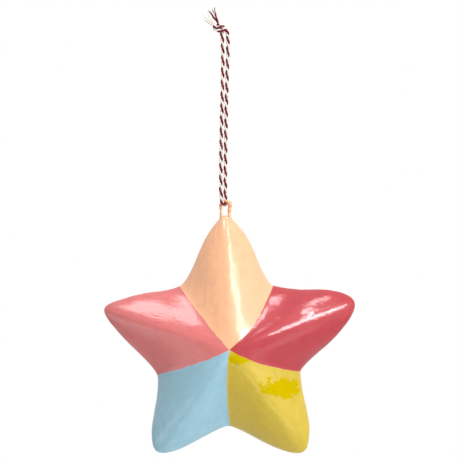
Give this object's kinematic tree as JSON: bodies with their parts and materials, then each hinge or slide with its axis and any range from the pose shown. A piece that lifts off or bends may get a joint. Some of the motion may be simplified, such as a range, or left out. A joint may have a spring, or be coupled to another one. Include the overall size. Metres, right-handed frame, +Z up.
{
  "type": "papier-mache star ornament",
  "caption": "Hand-painted papier-mache star with soft ridges and a different colour on each arm, hanging from a small wire eye on a knotted loop of twisted twine.",
  "frame": {"origin": "where a hook, peg or twig carries the loop: between its two strands, just under the knot", "axes": "+Z up along the hanging loop, +Y from the front face to the back, +X to the right as seen from the front"},
  "size_m": [0.1154, 0.042, 0.2052],
  "materials": {
    "star_paint": "brushed satin paint in peach, red, yellow, blue and pink fields",
    "eye_paint": "thick satin peach paint over wire",
    "twine": "twisted cotton, one burgundy ply and one natural white ply",
    "knot_twine": "the same twine pulled into a knot",
    "burgundy_yarn": "frayed cotton yarn, burgundy",
    "white_yarn": "frayed cotton yarn, natural white"
  },
  "bodies": {
    "root": {"star_body": "star_paint", "hanging_eye": "eye_paint", "twine_loop": "twine", "twine_knot": "knot_twine", "burgundy_yarn_ends": "burgundy_yarn", "white_yarn_ends": "white_yarn"}
  },
  "joints": []
}
